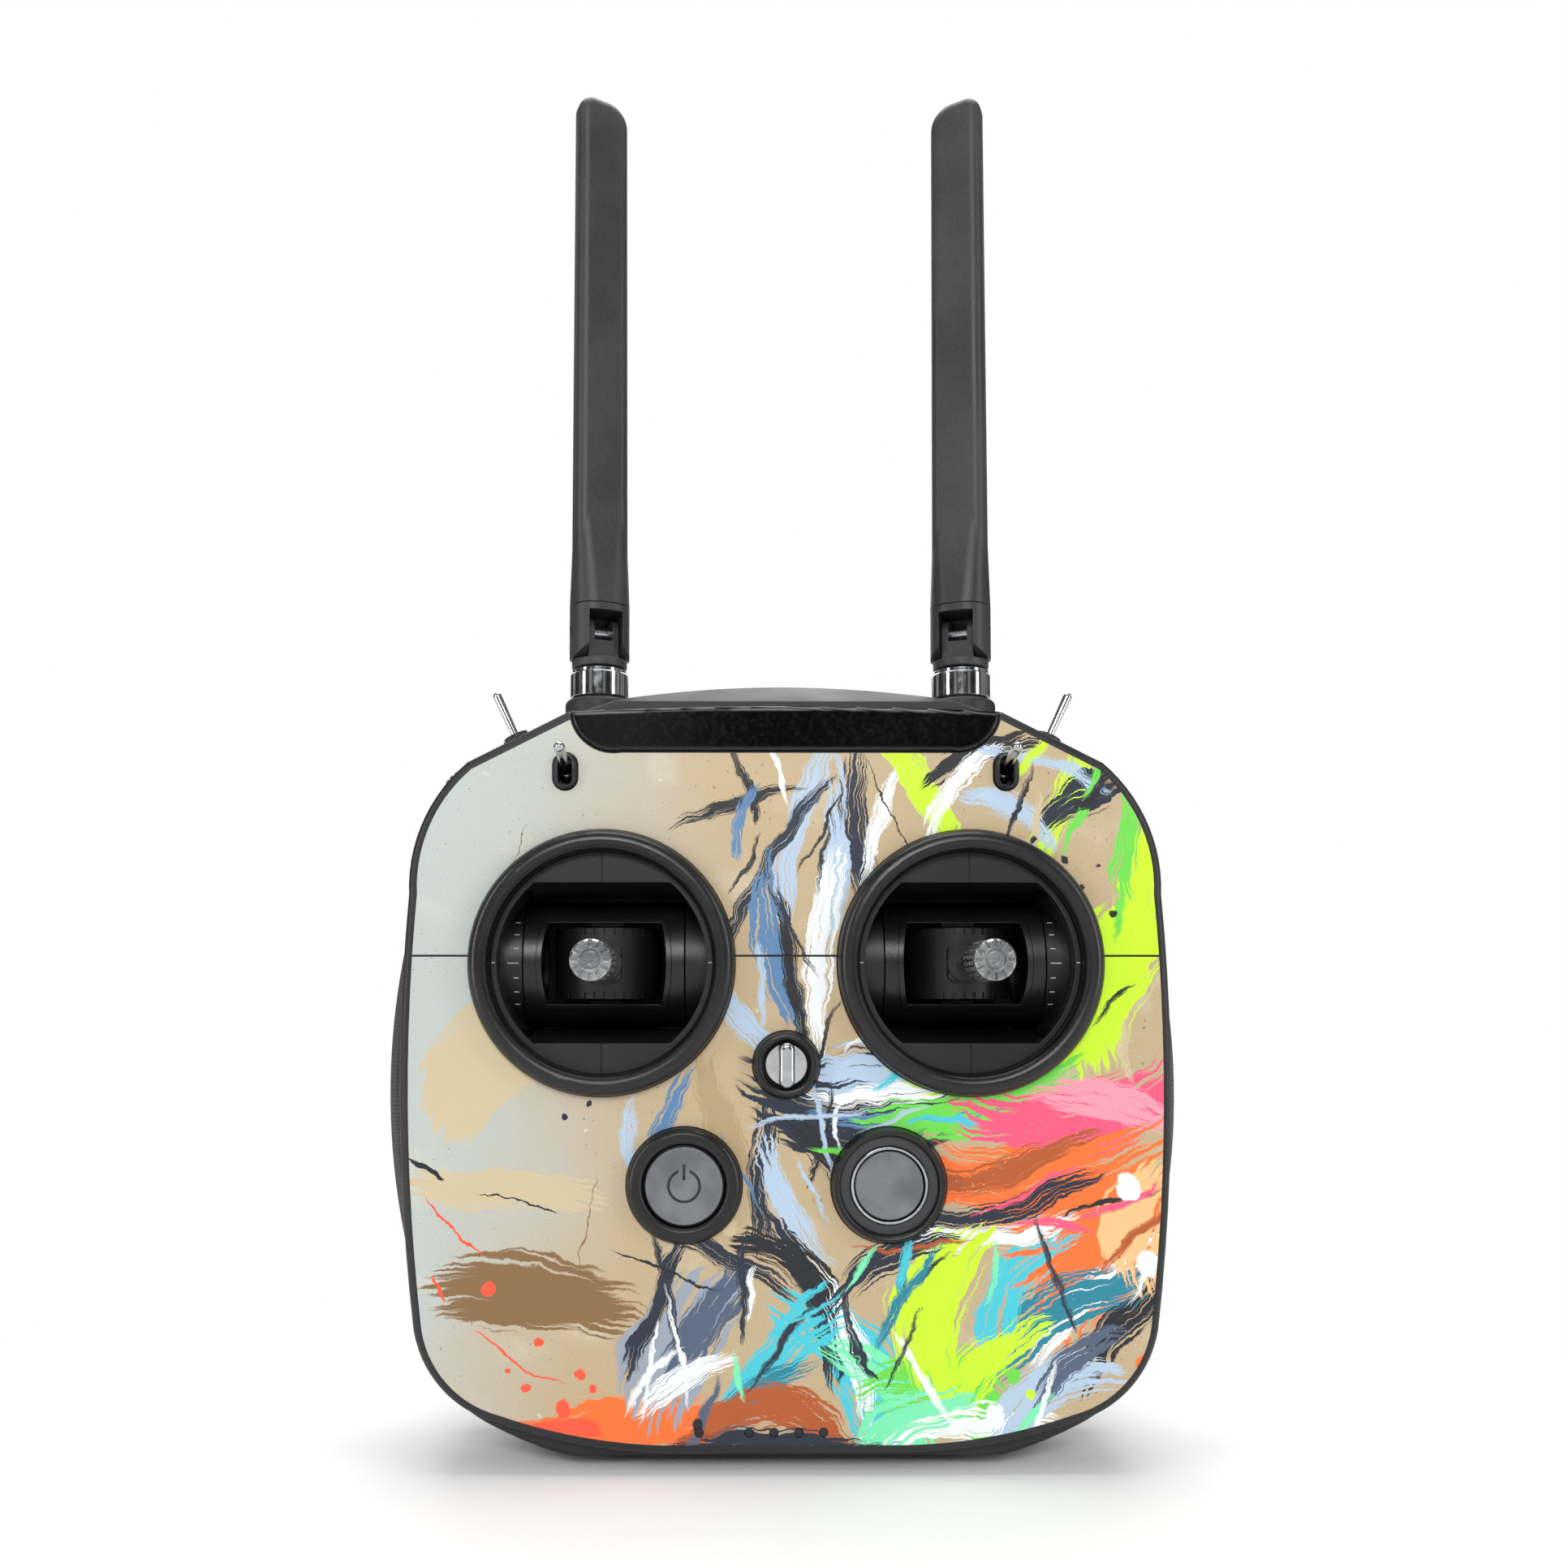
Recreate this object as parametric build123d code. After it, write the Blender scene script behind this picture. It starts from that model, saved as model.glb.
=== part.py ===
"""Drone hand controller: a square-cornered two-stick transmitter with two folding antennas.

Frame: X to the holder's right, Y away from the holder, Z up, in millimetres.
The origin is the centre of the flat foot that the controller stands on.
"""

import os
from math import cos, radians, sin, sqrt

from build123d import *

# ---- depth stations: Y grows away from the holder ----
SKIN_FACE = -20.0
PLATE_FACE = -19.6
PLATE_BACK = -17.4
PARTING = 1.5
BACK_FACE = 22.0
SKIRT_FRONT = -15.0
WALL = 2.4
FIT_GAP = 0.15

# ---- case outline: half widths (x) and heights (z) ----
PLATE_BOTTOM = 4.8
PLATE_TOP = 178.6
HUMP_TOP = 187.6
SHOULDER_OUT = (74.9, 165.3)
SHOULDER_IN = (51.2, 177.3)
SHOULDER_TILT = 25.0
SEAM_Z = 119.6

# ---- side grips: barrels about upright axes ----
GRIP_X = 66.0
GRIP_Y = 6.0
GRIP_MID_Z = 88.0
GRIP_R = 29.2
GRIP_SWEEP = 200.0
PAD_R = 31.0
PAD_SWEEP = 179.9
GRIP_BOTTOM, GRIP_TOP = 15.0, 154.0
PAD_BOTTOM, PAD_TOP = 23.4, 143.4

# ---- stick units ----
STICK_X = 43.0
STICK_Z = 118.0
PIVOT_Y = 1.5
BEZEL_OUT_R = 31.0
BEZEL_IN_R = 26.0
BEZEL_FACE = -24.0
OPENING_R = 24.6
OPENING_HALF_Z = 18.8
CRADLE_R = 15.5
CRADLE_HALF_X = 19.1
WINDOW_HALF_X = 14.8
WINDOW_HALF_Z = 9.8
CORE_R = 13.0
CORE_HALF_Z = 8.5
TRUNNION_R = 2.5
CORE_PIN_R = 1.5
RUNNING_GAP = 0.05
STICK_TIP_Y = -50.0
HEAD_R = 4.5
HEAD_LENGTH = 13.6
LOCKNUT_LENGTH = 2.6

# ---- buttons and mode knob ----
BUTTON_X, BUTTON_Z = 23.7, 66.5
BUTTON_BEZEL_R = 13.35
POWER_R = 9.5
HOME_R = 8.0
KNOB_Z = 94.3
KNOB_BEZEL_R = 7.75
KNOB_R = 5.1

# ---- toggles ----
FRONT_TOGGLE_X, FRONT_TOGGLE_Z = 51.7, 162.8
FRONT_TOGGLE_PIVOT_Y = -16.0
FRONT_TOGGLE_THROW = 12.0
SHOULDER_TOGGLE_X = 64.0
SHOULDER_TOGGLE_Y = -5.0

# ---- control wheel on the left shoulder ----
WHEEL_X, WHEEL_Z = -74.5, 157.2
WHEEL_R = 9.0

# ---- antennas ----
ANTENNA_X, ANTENNA_Y = 46.1, 8.0
ANTENNA_TWIST = 22.0
HINGE_Z = 202.5
BLADE_BOTTOM, BLADE_TOP = 209.0, 342.0

SIDES = (("left", -1), ("right", 1))


# ---- helpers ----
def slab(face, front, back):
    """A face drawn in X-Z, filled from depth front to depth back."""
    return extrude(Plane.XZ.offset(-back) * face, amount=back - front)


def bar_x(face, start, end):
    """A face drawn in Y-Z, filled from x start to x end."""
    return extrude(Plane.YZ.offset(start) * face, amount=end - start)


def post(face, bottom, top):
    """A face drawn in X-Y, filled from height bottom to height top."""
    return extrude(Plane.XY.offset(bottom) * face, amount=top - bottom)


def polygon(*points):
    """A face through points in order."""
    return make_face(Polyline(*points, close=True))


def block(x_range, y_range, z_range):
    """A box from its three ranges."""
    spans = [(low, high - low) for low, high in (x_range, y_range, z_range)]
    corner = Pos(*(low for low, size in spans))
    return corner * Box(*(size for low, size in spans), align=(Align.MIN,) * 3)


def turned_y(profile, x, z):
    """A profile of (radius, depth) turned about the Y axis through x, z."""
    return revolve(Pos(x, 0, z) * profile, axis=Axis((x, 0, z), (0, 1, 0)))


def ring(outer, inner):
    """A flat ring face."""
    return Circle(outer) - Circle(inner)


def mirrored_x(shape):
    """The same shape on the other side of the middle plane."""
    return mirror(shape, about=Plane.YZ)


def both(shape):
    """A shape and its mirror image as one."""
    return shape + mirrored_x(shape)


def outline(half_edges):
    """A closed face from the right half of its outline."""
    edges = list(half_edges) + [mirror(edge, about=Plane.YZ) for edge in half_edges]
    return make_face(edges)


def outer_edges(solid, depth):
    """The outer edges of the flat face at a depth."""
    face = [f for f in solid.faces() if abs(f.center().Y - depth) < 1e-3]
    return max(face, key=lambda f: f.area).outer_wire().edges()


# ---- case outlines ----
def plate_outline():
    """Outline of the front plate."""
    return outline(
        [
            Line((0, PLATE_BOTTOM), (24, PLATE_BOTTOM)),
            ThreePointArc((24, PLATE_BOTTOM), (47.6, 6.8), (67.2, 11.9)),
            ThreePointArc((67.2, 11.9), (80.2, 20.0), (86.4, 33.0)),
            ThreePointArc((86.4, 33.0), (90.0, 82.0), (88.4, 134.0)),
            ThreePointArc((88.4, 134.0), (84.4, 153.2), SHOULDER_OUT),
            Line(SHOULDER_OUT, SHOULDER_IN),
            ThreePointArc(SHOULDER_IN, (25.6, 178.27), (0, PLATE_TOP)),
        ]
    )


def rear_outline():
    """Outline of the rear shell: a flat foot below and a hump above the plate."""
    return outline(
        [
            Line((0, 0), (30, 0)),
            ThreePointArc((30, 0), (51, 2.9), (69, 10.0)),
            ThreePointArc((69, 10.0), (80.2, 19.2), (86.6, 33.0)),
            ThreePointArc((86.6, 33.0), (90.0, 82.0), (88.4, 134.0)),
            ThreePointArc((88.4, 134.0), (84.4, 153.2), SHOULDER_OUT),
            Line(SHOULDER_OUT, (57, 174.36)),
            ThreePointArc((57, 174.36), (28.5, 184.4), (0, HUMP_TOP)),
        ]
    )


PLATE = plate_outline()
REAR = rear_outline()
PLATE_CLEAR = offset(PLATE, amount=FIT_GAP)


def shoulder_z(x):
    """Height of the straight shoulder at a half width."""
    (x0, z0), (x1, z1) = SHOULDER_IN, SHOULDER_OUT
    return z0 + (z1 - z0) * (x - x0) / (x1 - x0)


def shoulder_plane(side, x, y, lift=0.0):
    """A plane on the shoulder whose normal points out of the case."""
    tilt = radians(SHOULDER_TILT)
    normal = (side * sin(tilt), 0, cos(tilt))
    origin = (side * (x + lift * sin(tilt)), y, shoulder_z(x) + lift * cos(tilt))
    return Plane(origin=origin, x_dir=(0, 1, 0), z_dir=normal)


# ---- case ----
SCREW_SPOTS = [(-35, 24), (35, 24), (-35, 154), (35, 154), (-11, 84), (11, 84)]
INSERT_SPOTS = [(-12, 100), (12, 100), (-12, 130), (12, 130)]
LIGHT_SPOTS = [(-20.2, 10), (-8.7, 10), (-3.0, 10), (2.8, 10), (8.4, 10)]
REAR_BUTTON = (33.0, 87.0)
DOOR_HALF_X = 31.0
DOOR_Z = (18.0, 76.0)


def barrel(r_mid, sweep, bottom, top, end_radius):
    """A grip barrel on the right side, about its own upright axis."""

    def radius_at(z):
        return r_mid - sweep + sqrt(sweep**2 - (z - GRIP_MID_Z) ** 2)

    middle = (bottom + top) / 2
    side = ThreePointArc(
        (radius_at(bottom), bottom), (radius_at(middle), middle), (radius_at(top), top)
    )
    edges = [
        side,
        Line((radius_at(top), top), (0, top)),
        Line((0, top), (0, bottom)),
        Line((0, bottom), (radius_at(bottom), bottom)),
    ]
    profile = make_face(edges)
    if end_radius:
        corners = [v for v in profile.vertices() if v.X > 1]
        profile = fillet(corners, end_radius)
    solid = revolve(Plane.XZ * profile, axis=Axis.Z)
    return Pos(GRIP_X, GRIP_Y, 0) * solid


def build_front_shell():
    """Front plate with its side walls, screw posts and every opening."""
    body = slab(PLATE, PLATE_FACE, PARTING)
    body = fillet(outer_edges(body, PLATE_FACE), 1.8)
    body -= slab(offset(PLATE, amount=-WALL), PLATE_BACK, PARTING + 1)
    for x, z in SCREW_SPOTS:
        body += slab(Pos(x, z) * Circle(3.4), PLATE_BACK - 0.2, PARTING)
        body -= slab(Pos(x, z) * Circle(1.1), -10, PARTING + 1)
    body += slab(Pos(WHEEL_X, WHEEL_Z) * Circle(3.2), PLATE_BACK - 0.2, -7.9)
    body -= slab(Pos(WHEEL_X, WHEEL_Z) * Circle(1.55), -12, -7)
    body -= slab(Pos(WHEEL_X, WHEEL_Z) * Circle(WHEEL_R + 0.5), -7.9, -2.4)
    for side in (-1, 1):
        body -= slab(Pos(side * STICK_X, STICK_Z) * Circle(29.6), -21, -16)
        body -= slab(Pos(side * BUTTON_X, BUTTON_Z) * Circle(12.0), -21, -16)
        spot = Pos(side * FRONT_TOGGLE_X, FRONT_TOGGLE_Z)
        body -= slab(spot * SlotOverall(8.6, 5.6, rotation=90), -21, -16)
        seat = shoulder_plane(side, SHOULDER_TOGGLE_X, SHOULDER_TOGGLE_Y, -5)
        body -= extrude(seat * Circle(3.15), amount=10)
    body -= slab(Pos(0, KNOB_Z) * Circle(7.0), -21, -16)
    for x, z in LIGHT_SPOTS:
        body -= slab(Pos(x, z) * Circle(1.0), -21, -16)
    body -= slab(offset(panel_face(), amount=0.12), -21, PANEL_BACK)
    return body


PANEL_BACK = -18.4
PANEL_FACE = -20.3


def panel_face():
    """Face of the gloss inlay: wide at the top edge, drawn in below."""
    half = [
        ThreePointArc((0, 178.35), (25.6, 178.05), (50.4, 177.15)),
        ThreePointArc((50.4, 177.15), (47.6, 170.6), (38.6, 167.7)),
        Line((38.6, 167.7), (0, 167.7)),
    ]
    return outline(half)


def build_top_panel():
    """Gloss inlay along the top edge of the plate."""
    body = slab(panel_face(), PANEL_FACE, PANEL_BACK)
    return fillet(outer_edges(body, PANEL_FACE), 0.9)


def skin_face():
    """The vinyl skin with every cut-out, before it is split in two."""
    face = offset(PLATE, amount=-2.3)
    for side in (-1, 1):
        face -= Pos(side * STICK_X, STICK_Z) * Circle(BEZEL_OUT_R + 0.3)
        face -= Pos(side * BUTTON_X, BUTTON_Z) * Circle(BUTTON_BEZEL_R + 0.3)
        spot = Pos(side * FRONT_TOGGLE_X, FRONT_TOGGLE_Z)
        face -= spot * SlotOverall(9.2, 6.2, rotation=90)
    face -= Pos(0, KNOB_Z) * Circle(KNOB_BEZEL_R + 0.3)
    for x, z in LIGHT_SPOTS:
        face -= Pos(x, z) * Circle(1.1)
    face -= offset(panel_face(), amount=0.5)
    return face


def build_skins():
    """Upper and lower skin pieces either side of the seam."""
    whole = slab(skin_face(), SKIN_FACE, PLATE_FACE)
    depth = (SKIN_FACE - 1, PLATE_FACE + 1)
    upper = whole & block((-100, 100), depth, (SEAM_Z + 0.25, 200))
    lower = whole & block((-100, 100), depth, (-10, SEAM_Z - 0.25))
    return upper, lower


def build_rear_shell():
    """Rear housing with foot, hump, grip barrels, openings and bosses."""
    body = slab(REAR, SKIRT_FRONT, BACK_FACE)
    body = fillet(outer_edges(body, SKIRT_FRONT), 1.6)
    body = fillet(outer_edges(body, BACK_FACE), 6.0)
    front_zone = (SKIRT_FRONT - 6, PARTING + FIT_GAP)
    body -= block((-100, 100), front_zone, (22, 177))
    for side in (-1, 1):
        reach = sorted((side * 49, side * 100))
        body -= block(reach, front_zone, (60, 200))
    slope = polygon((-22, 177.6), (3.5, HUMP_TOP + 0.4), (3.5, 200), (-22, 200))
    body -= bar_x(slope, -60, 60)
    heel = polygon((-22, 5.3), (-22, -2), (-4, -2), (-4, 0))
    body -= bar_x(heel, -60, 60)
    grip = barrel(GRIP_R, GRIP_SWEEP, GRIP_BOTTOM, GRIP_TOP, 9.0)
    grip -= block((0, 120), (-60, -10), (0, 200))
    body += both(grip)
    body -= slab(PLATE_CLEAR, -40, PARTING + FIT_GAP)
    hollow = barrel(GRIP_R - WALL, GRIP_SWEEP, GRIP_BOTTOM + 2.6, GRIP_TOP - 2.6, 6.5)
    hollow &= block((0, 120), (PARTING, 60), (0, 200))
    body -= slab(offset(REAR, amount=-WALL), PARTING, BACK_FACE - WALL)
    body -= both(hollow)
    for x, z in SCREW_SPOTS:
        body += slab(Pos(x, z) * Circle(3.9), PARTING + FIT_GAP, BACK_FACE - 1)
        body -= slab(Pos(x, z) * Circle(1.35), 0, BACK_FACE + 1)
        body -= slab(Pos(x, z) * Circle(2.9), BACK_FACE - 2.2, BACK_FACE + 1)
    for x, z in INSERT_SPOTS:
        body += slab(Pos(x, z) * Circle(4.2), BACK_FACE - 8, BACK_FACE - 1)
        body -= slab(Pos(x, z) * Circle(2.3), BACK_FACE - 6, BACK_FACE + 1)
    door = Pos(0, sum(DOOR_Z) / 2) * RectangleRounded(2 * DOOR_HALF_X, DOOR_Z[1] - DOOR_Z[0], 4)
    body -= slab(door, BACK_FACE - 4, BACK_FACE + 1)
    for side in (-1, 1):
        x, z = REAR_BUTTON
        body -= slab(Pos(side * x, z) * Circle(5.0), BACK_FACE - 4, BACK_FACE + 1)
        body -= extrude(shoulder_button_plane(side, -4) * RectangleRounded(14, 8, 3.6), amount=9)
        body -= post(Pos(side * ANTENNA_X, ANTENNA_Y) * Circle(6.0), 170, 190)
    for level in range(5):
        slot = Pos(0, 142 + 3.6 * level) * SlotOverall(26, 1.8)
        body -= slab(slot, BACK_FACE - 4, BACK_FACE + 1)
    body -= post(Pos(0, 9) * SlotOverall(9.4, 3.6), -1, 4)
    return body


def shoulder_button_plane(side, lift):
    """Seat of a shoulder button on the rear shell."""
    return shoulder_plane(side, 67.0, 11.5, lift)


def build_grip_pad():
    """Right-hand rubber pad wrapped round the grip barrel."""
    outer = barrel(PAD_R, PAD_SWEEP, PAD_BOTTOM, PAD_TOP, 0)
    inner = barrel(GRIP_R, GRIP_SWEEP, GRIP_BOTTOM, GRIP_TOP, 0)
    pad = outer - inner
    region = Pos(86, (PAD_BOTTOM + PAD_TOP) / 2)
    region *= RectangleRounded(68, PAD_TOP - PAD_BOTTOM, 14)
    pad &= slab(region, -9.5, 60)
    pad -= slab(offset(PLATE, amount=0.3), -40, PARTING + 1)
    pad -= slab(offset(REAR, amount=0.05), PARTING, BACK_FACE + 0.05)
    solids = sorted(pad.solids(), key=lambda s: s.volume)
    return solids[-1]


def build_battery_door():
    """Cover over the battery bay with finger grooves."""
    width = 2 * (DOOR_HALF_X - 0.25)
    height = DOOR_Z[1] - DOOR_Z[0] - 0.5
    spot = Pos(0, sum(DOOR_Z) / 2)
    body = slab(spot * RectangleRounded(width, height, 3.8), BACK_FACE - WALL, BACK_FACE)
    body = chamfer(outer_edges(body, BACK_FACE), 0.4)
    for level in range(4):
        groove = Pos(0, DOOR_Z[1] - 7 - 2.6 * level) * SlotOverall(22, 1.4)
        body -= slab(groove, BACK_FACE - 0.7, BACK_FACE + 1)
    return body


def build_main_board():
    """Circuit board under the buttons with its chips and switches."""
    face = Pos(0, 50.5) * RectangleRounded(112, 73, 4) + Pos(0, 14) * Rectangle(52, 11)
    board = slab(face, -6.0, -4.4)
    chips = [(0, 50, 14, 14), (-34, 50, 10, 8), (34, 48, 10, 10), (0, 26, 22, 7)]
    for x, z, width, height in chips:
        board += slab(Pos(x, z) * Rectangle(width, height), -4.4, -3.0)
    for side in (-1, 1):
        switch = Pos(side * BUTTON_X, BUTTON_Z) * Rectangle(6, 6)
        board += slab(switch, -9.6, -6.0)
    for x, z in SCREW_SPOTS:
        board -= slab(Pos(x, z) * Circle(3.8), -7, -2)
    return board


def build_battery_pack():
    """Shrink-wrapped battery pack under the door."""
    body = slab(Pos(0, 47) * RectangleRounded(57, 52, 3), 6.5, 19.2)
    return fillet(outer_edges(body, 6.5), 1.5)


def build_case_screws():
    """Six socket screws that close the case."""
    screws = Part()
    for x, z in SCREW_SPOTS:
        spot = Pos(x, z)
        screw = slab(spot * Circle(1.1), -8, BACK_FACE - 2.2)
        screw += slab(spot * Circle(2.6), BACK_FACE - 2.2, BACK_FACE - 0.2)
        screw -= slab(spot * RegularPolygon(1.3, 6), BACK_FACE - 1.4, BACK_FACE)
        screws += screw
    return screws


def build_bracket_inserts():
    """Threaded brass inserts for a tablet bracket."""
    inserts = Part()
    for x, z in INSERT_SPOTS:
        inserts += slab(Pos(x, z) * ring(2.3, 1.5), BACK_FACE - 6, BACK_FACE)
    return inserts


def build_charge_socket():
    """Metal charging socket in the foot."""
    shell = post(Pos(0, 9) * SlotOverall(9.2, 3.4), 0.3, 7.5)
    shell -= post(Pos(0, 9) * SlotOverall(8.5, 2.7), 0, 6.8)
    tongue = post(Pos(0, 9) * Rectangle(6.4, 0.7), 1.2, 7.5)
    return shell + tongue


def build_status_lights():
    """Five light pipes along the bottom of the plate."""
    lights = Part()
    for x, z in LIGHT_SPOTS:
        lights += slab(Pos(x, z) * Circle(0.95), -19.9, -6.4)
    return lights


# ---- stick units, drawn about their own middle and moved to a side ----
def stick_spot(side):
    """Where a stick unit sits."""
    return Pos(side * STICK_X, 0, STICK_Z)


def build_gimbal_bezel():
    """Rounded rim round a stick opening."""
    profile = make_face(
            [
                Line((BEZEL_IN_R, -17.4), (BEZEL_IN_R, -22.0)),
                ThreePointArc((BEZEL_IN_R, -22.0), (26.75, -23.4), (28.4, BEZEL_FACE)),
                ThreePointArc((28.4, BEZEL_FACE), (30.25, -23.15), (BEZEL_OUT_R, -21.2)),
                Line((BEZEL_OUT_R, -21.2), (BEZEL_OUT_R, -19.65)),
                Line((BEZEL_OUT_R, -19.65), (29.5, -19.65)),
                Line((29.5, -19.65), (29.5, -17.4)),
                Line((29.5, -17.4), (BEZEL_IN_R, -17.4)),
            ]
    )
    return turned_y(profile, 0, 0)


def opening_face():
    """Stick opening: a circle cut by two level chords."""
    return Circle(OPENING_R) & Rectangle(60, 2 * OPENING_HALF_Z)


def build_gimbal_cover():
    """Inner cover plate with sloping skirts above and below the drum."""
    body = slab(Circle(25.9) - opening_face(), -19.6, -17.7)
    skirt = polygon((-19.6, 18.8), (-19.6, 19.8), (-1.0, 17.2), (-1.0, 16.2))
    skirts = bar_x(skirt, -26, 26)
    skirts += mirror(skirts, about=Plane.XY)
    skirts &= slab(Circle(OPENING_R), -20, 0)
    body += skirts
    for side in (-1, 1):
        groove = Pos(0, side * 22.4) * Rectangle(0.35, 7.2)
        body -= slab(groove, -20, -19.3)
    return body


def build_gimbal_frame():
    """Frame that carries the drum, with fixed cheeks beside it."""
    body = slab(RectangleRounded(51, 39.4, 3), -17.3, 18.6)
    body -= slab(Rectangle(2 * (CRADLE_HALF_X + 0.3), 35.2), -18, 17.4)
    body -= slab(Circle(11), 17, 19)
    in_front = slab(Circle(OPENING_R), -18, PIVOT_Y)
    drum = bar_x(Pos(PIVOT_Y, 0) * Circle(CRADLE_R), -30, 30)
    body -= in_front - drum
    bearing = Pos(PIVOT_Y, 0) * Circle(TRUNNION_R + RUNNING_GAP)
    return body - bar_x(bearing, -30, 30)


def build_gimbal_scale(side):
    """White travel marks on the outer cheek and on the cover plate."""
    marks = Part()
    pivot = Pos(0, PIVOT_Y, 0)
    for step in range(-3, 4):
        inner = 20.2
        outer = 22.8 if step == 0 else 21.4
        reach = sorted((side * inner, side * outer))
        mark = block(reach, (-CRADLE_R - 0.06, -CRADLE_R), (-0.14, 0.14))
        marks += pivot * Rot(step * 13.0, 0, 0) * mark
    for end in (-1, 1):
        reach = sorted((end * 24.9, end * 25.7))
        marks += block(reach, (-19.64, -19.6), (-0.14, 0.14))
    return stick_spot(side) * marks


def window_face():
    """Drum window: level top and bottom, sides bulging outwards."""
    return outline(
        [
            Line((0, -WINDOW_HALF_Z), (13.6, -WINDOW_HALF_Z)),
            ThreePointArc((13.6, -WINDOW_HALF_Z), (WINDOW_HALF_X, 0), (13.6, WINDOW_HALF_Z)),
            Line((13.6, WINDOW_HALF_Z), (0, WINDOW_HALF_Z)),
        ]
    )


def build_gimbal_cradle():
    """Outer drum: tips up and down on its trunnions and carries the core."""
    body = bar_x(ring(CRADLE_R, CRADLE_R - 1.3), -17.6, 17.6)
    for side in (-1, 1):
        disc = sorted((side * 17.6, side * CRADLE_HALF_X))
        pin = sorted((side * CRADLE_HALF_X, side * 24.5))
        body += bar_x(Circle(CRADLE_R), *disc)
        body += bar_x(Circle(TRUNNION_R), *pin)
        web = sorted((side * 9.0, side * 14.7))
        body += block((-4, 4), (-4, 4), web)
    body -= slab(window_face(), -20, -8)
    body -= block((-16.5, 16.5), (7, 20), (-20, 20))
    body -= post(Circle(CORE_PIN_R + RUNNING_GAP), -13.5, 13.5)
    lip = slab(offset(window_face(), amount=1.3) - window_face(), -20, -8)
    lip &= bar_x(ring(CRADLE_R + 0.25, CRADLE_R - 1.3), -16.5, 16.5)
    return Pos(0, PIVOT_Y, 0) * (body + lip)


def build_gimbal_core():
    """Inner drum with its scale grooves: swings from side to side."""
    body = post(Circle(CORE_R), -CORE_HALF_Z, CORE_HALF_Z)
    body -= post(Circle(11.0), -7.0, 7.0)
    body -= block((-20, 20), (3, 20), (-10, 10))
    for side in (-1, 1):
        pin = sorted((side * 7.0, side * 12.5))
        body += post(Circle(CORE_PIN_R), *pin)
    body += slab(RectangleRounded(8, 8, 1), -14.6, -10.8)
    body += slab(Circle(4.25), -15.4, -14.6)
    for step in range(-4, 5):
        for side in (-1, 1):
            height = sorted((side * 6.9, side * 9.0))
            groove = block((-0.25, 0.25), (-CORE_R - 1, -CORE_R + 0.5), height)
            body -= Rot(0, 0, step * 10.6) * groove
    body -= slab(Circle(2.0), -16, -10)
    return Pos(0, PIVOT_Y, 0) * body


def build_stick_shaft():
    """Threaded stick shaft from the core into the head."""
    return slab(Circle(2.0), -44.0, PIVOT_Y - 10.9)


def build_stick_head():
    """Knurled head with a fluted end face."""
    start = STICK_TIP_Y + HEAD_LENGTH
    body = slab(Circle(HEAD_R), STICK_TIP_Y, start)
    body = chamfer(outer_edges(body, STICK_TIP_Y), 0.5)
    for level in range(6):
        y = STICK_TIP_Y + 2.4 + 1.9 * level
        body -= slab(ring(HEAD_R + 1, HEAD_R - 0.45), y, y + 0.5)
    flutes = Part()
    for step in range(20):
        cut = block((-0.3, 0.3), (STICK_TIP_Y + 1.2, start + 1), (HEAD_R - 0.45, HEAD_R + 1))
        flutes += Rot(0, step * 18, 0) * cut
    for step in range(12):
        cut = block((-0.4, 0.4), (STICK_TIP_Y - 1, STICK_TIP_Y + 0.9), (2.7, HEAD_R + 1))
        flutes += Rot(0, step * 30, 0) * cut
    body -= flutes
    body -= slab(ring(2.25, 1.75), STICK_TIP_Y - 1, STICK_TIP_Y + 0.6)
    body -= slab(Circle(1.0), STICK_TIP_Y - 1, STICK_TIP_Y + 0.3)
    return body - slab(Circle(2.0), -44.0, start + 1)


def build_stick_locknut():
    """Lock nut that jams the head on its shaft."""
    start = STICK_TIP_Y + HEAD_LENGTH + 0.3
    body = slab(Circle(HEAD_R), start, start + LOCKNUT_LENGTH)
    for step in range(20):
        cut = block((-0.3, 0.3), (start - 1, start + 5), (HEAD_R - 0.45, HEAD_R + 1))
        body -= Rot(0, step * 18, 0) * cut
    return body - slab(Circle(2.0), start - 1, start + 5)


# ---- buttons and knob ----
def build_button_bezel(inner):
    """Rounded rim round a button, with a spigot through the plate."""
    outer = BUTTON_BEZEL_R
    middle = (outer + inner) / 2
    face = -22.6
    profile = make_face(
            [
                Line((inner, -17.4), (inner, -21.7)),
                ThreePointArc((inner, -21.7), (inner + 0.35, -22.35), (inner + 1.0, face)),
                Line((inner + 1.0, face), (middle + 0.4, face)),
                ThreePointArc((middle + 0.4, face), (outer - 0.4, -21.9), (outer, -20.6)),
                Line((outer, -20.6), (outer, -19.65)),
                Line((outer, -19.65), (11.9, -19.65)),
                Line((11.9, -19.65), (11.9, -17.4)),
                Line((11.9, -17.4), (inner, -17.4)),
            ]
    )
    return turned_y(profile, 0, 0)


def build_power_button():
    """Power button cap with a bevelled edge, a stem and its symbol cut in."""
    body = slab(Circle(POWER_R - 0.1), -21.8, -16.4)
    body = chamfer(outer_edges(body, -21.8), 0.55)
    body += slab(Circle(2.2), -16.4, -11.2)
    symbol = ring(3.9, 3.3) - Pos(0, 4) * Rectangle(2.6, 5)
    symbol += Pos(0, 3.1) * Rectangle(0.6, 3.6)
    return body - slab(symbol, -22, -21.65)


def build_home_ring():
    """Flat dark ring round the home button."""
    return slab(ring(11.3, 9.15), -21.0, -17.4)


def build_home_trim():
    """Bright double ring round the home button."""
    body = slab(ring(9.05, 8.3), -21.5, -17.4)
    return chamfer(outer_edges(body, -21.5), 0.25)


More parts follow.
